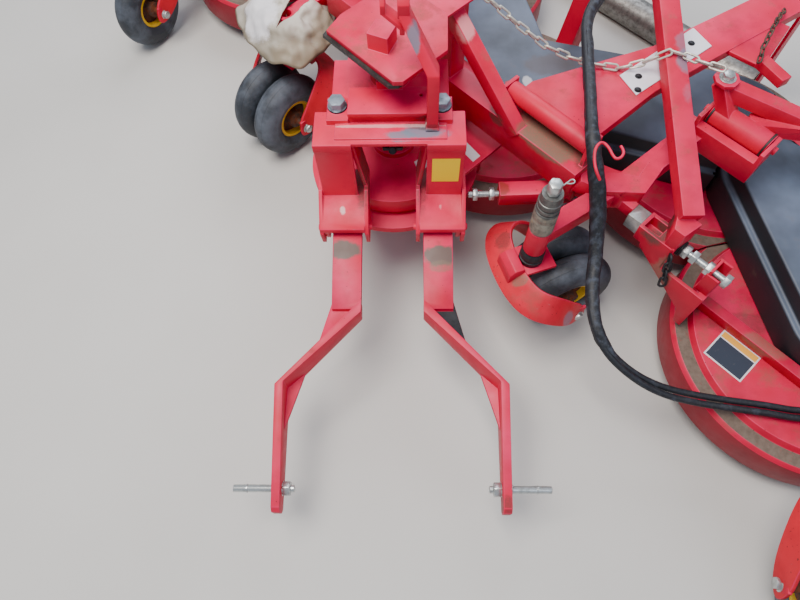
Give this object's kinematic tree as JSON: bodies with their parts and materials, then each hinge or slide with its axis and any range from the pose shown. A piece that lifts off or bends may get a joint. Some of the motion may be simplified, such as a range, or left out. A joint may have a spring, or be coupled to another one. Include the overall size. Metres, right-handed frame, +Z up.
{
  "type": "folded rotary mower",
  "caption": "Rotary mower swung round its kingpin to its folded position, with a headstock, five round decks, belt covers, castors, rear rollers and a pair of hoses.",
  "frame": {"origin": "on the ground under the middle of the whole machine's bounding box", "axes": "+Z up, -Y towards the tractor along the headstock, +X to the side of the hoses"},
  "size_m": [3.314, 3.5952, 1.081],
  "materials": {
    "red_paint": "satin",
    "rim_yellow": "satin",
    "tyre_rubber": "matte",
    "pale_cover": "matte",
    "cover_black": "matte",
    "bare_steel": "satin",
    "hose_rubber": "matte"
  },
  "bodies": {
    "carrier": {"bearing_blocks": "bare_steel", "belt_cover_centre": "cover_black", "belt_covers_wing": "cover_black", "carrier_frame": "red_paint", "castor_cowl": "pale_cover", "deck_centre": "red_paint", "deck_wing_left": "red_paint", "deck_wing_right": "red_paint", "decks_rear": "red_paint", "hose_inner": "hose_rubber", "hose_outer": "hose_rubber", "long_bars": "red_paint", "pivot_cover": "red_paint", "pivot_seal": "hose_rubber", "rear_post": "red_paint", "swing_stop_bolt": "bare_steel", "wing_bars": "red_paint"},
    "headstock": {"headstock": "red_paint", "top_link_mast": "red_paint"},
    "hitch_arm_left": {"hitch_arm_left": "red_paint"},
    "hitch_arm_right": {"hitch_arm_right": "red_paint"},
    "rotor_centre": {"rotor_centre": "bare_steel"},
    "rotor_rear_left": {"rotor_rear_left": "bare_steel"},
    "rotor_rear_right": {"rotor_rear_right": "bare_steel"},
    "rotor_wing_left": {"rotor_wing_left": "bare_steel"},
    "rotor_wing_right": {"rotor_wing_right": "bare_steel"},
    "rear_frame_centre": {"rear_frame_centre": "red_paint"},
    "rear_roller_centre": {"rear_roller_centre": "red_paint"},
    "rear_frame_right": {"rear_frame_right": "red_paint"},
    "rear_roller_right": {"rear_roller_right": "red_paint"},
    "rear_frame_left": {"rear_frame_left": "red_paint"},
    "rear_roller_left": {"rear_roller_left": "red_paint"},
    "castor_inner_right": {"castor_fork_inner_right": "red_paint"},
    "wheels_inner_right": {"castor_tyre_inner_right": "tyre_rubber", "castor_wheel_inner_right": "rim_yellow"},
    "castor_inner_left": {"castor_fork_inner_left": "red_paint"},
    "wheels_inner_left": {"castor_tyre_inner_left": "tyre_rubber", "castor_wheel_inner_left": "rim_yellow"},
    "castor_outer_right": {"castor_fork_outer_right": "red_paint"},
    "wheels_outer_right": {"castor_tyre_outer_right": "tyre_rubber", "castor_wheel_outer_right": "rim_yellow"},
    "castor_outer_left": {"castor_fork_outer_left": "red_paint"},
    "wheels_outer_left": {"castor_tyre_outer_left": "tyre_rubber", "castor_wheel_outer_left": "rim_yellow"}
  },
  "joints": [
    {"name": "headstock_swing", "type": "hinge", "parent": "carrier", "child": "headstock", "pos_m": [-0.40557, -0.28892, 0.6], "axis": [0, 0, 1], "range_deg": [-46.6, 0]},
    {"name": "hitch_arm_left_lift", "type": "hinge", "parent": "headstock", "child": "hitch_arm_left", "pos_m": [-0.54557, -0.61392, 0.418], "axis": [-1, 0, 0], "range_deg": [0, 12]},
    {"name": "hitch_arm_right_lift", "type": "hinge", "parent": "headstock", "child": "hitch_arm_right", "pos_m": [-0.26557, -0.61392, 0.418], "axis": [-1, 0, 0], "range_deg": [0, 12]},
    {"name": "rotor_centre_spin", "type": "hinge", "parent": "carrier", "child": "rotor_centre", "pos_m": [0.00131, 0.09585, 0.11], "axis": [0, 0, 1], "continuous": true},
    {"name": "rotor_rear_left_spin", "type": "hinge", "parent": "carrier", "child": "rotor_rear_left", "pos_m": [-0.19305, 0.86171, 0.11], "axis": [0, 0, 1], "continuous": true},
    {"name": "rotor_rear_right_spin", "type": "hinge", "parent": "carrier", "child": "rotor_rear_right", "pos_m": [0.75513, -0.14096, 0.11], "axis": [0, 0, 1], "continuous": true},
    {"name": "rotor_wing_left_spin", "type": "hinge", "parent": "carrier", "child": "rotor_wing_left", "pos_m": [-0.9454, 1.07514, 0.11], "axis": [0, 0, 1], "continuous": true},
    {"name": "rotor_wing_right_spin", "type": "hinge", "parent": "carrier", "child": "rotor_wing_right", "pos_m": [0.92623, -0.90405, 0.11], "axis": [0, 0, 1], "continuous": true},
    {"name": "rear_frame_centre_float", "type": "hinge", "parent": "carrier", "child": "rear_frame_centre", "pos_m": [-0.21521, -0.1089, 0.655], "axis": [0.6871, -0.7266, 0], "range_deg": [-4, 0]},
    {"name": "rear_roller_centre_spin", "type": "hinge", "parent": "rear_frame_centre", "child": "rear_roller_centre", "pos_m": [0.68429, 0.74171, 0.065], "axis": [0.6871, -0.7266, 0], "continuous": true},
    {"name": "rear_frame_right_float", "type": "hinge", "parent": "carrier", "child": "rear_frame_right", "pos_m": [0.62205, -0.39756, 0.6], "axis": [0.6871, -0.7266, 0], "range_deg": [-4, 0]},
    {"name": "rear_roller_right_spin", "type": "hinge", "parent": "rear_frame_right", "child": "rear_roller_right", "pos_m": [1.40712, -0.60482, 0.065], "axis": [0.6871, -0.7266, 0], "continuous": true},
    {"name": "rear_frame_left_float", "type": "hinge", "parent": "carrier", "child": "rear_frame_left", "pos_m": [-0.45668, 0.74316, 0.6], "axis": [0.6871, -0.7266, 0], "range_deg": [-4, 0]},
    {"name": "rear_roller_left_spin", "type": "hinge", "parent": "rear_frame_left", "child": "rear_roller_left", "pos_m": [-0.61979, 1.53857, 0.065], "axis": [0.6871, -0.7266, 0], "continuous": true},
    {"name": "castor_inner_right_swivel", "type": "hinge", "parent": "carrier", "child": "castor_inner_right", "pos_m": [0.02536, -0.68931, 0.5], "axis": [0, 0, 1], "range_deg": [-30, 25]},
    {"name": "wheels_inner_right_spin", "type": "hinge", "parent": "castor_inner_right", "child": "wheels_inner_right", "pos_m": [0.14828, -0.64699, 0.165], "axis": [-0.3256, 0.9455, 0], "continuous": true},
    {"name": "castor_inner_left_swivel", "type": "hinge", "parent": "carrier", "child": "castor_inner_left", "pos_m": [-0.79533, 0.21784, 0.5], "axis": [0, 0, 1], "range_deg": [-25, 30]},
    {"name": "wheels_inner_left_spin", "type": "hinge", "parent": "castor_inner_left", "child": "wheels_inner_left", "pos_m": [-0.88147, 0.12048, 0.165], "axis": [0.749, -0.6626, 0], "continuous": true},
    {"name": "castor_outer_right_swivel", "type": "hinge", "parent": "carrier", "child": "castor_outer_right", "pos_m": [0.79783, -1.47415, 0.5], "axis": [0, 0, 1], "range_deg": [-40, 40]},
    {"name": "wheels_outer_right_spin", "type": "hinge", "parent": "castor_outer_right", "child": "wheels_outer_right", "pos_m": [0.75512, -1.63353, 0.165], "axis": [0.9659, -0.2588, 0], "continuous": true},
    {"name": "castor_outer_left_swivel", "type": "hinge", "parent": "carrier", "child": "castor_outer_left", "pos_m": [-1.45422, 0.86511, 0.5], "axis": [0, 0, 1], "range_deg": [-40, 40]},
    {"name": "wheels_outer_left_spin", "type": "hinge", "parent": "castor_outer_left", "child": "wheels_outer_left", "pos_m": [-1.53672, 0.72222, 0.165], "axis": [0.866, -0.5, 0], "continuous": true}
  ]
}
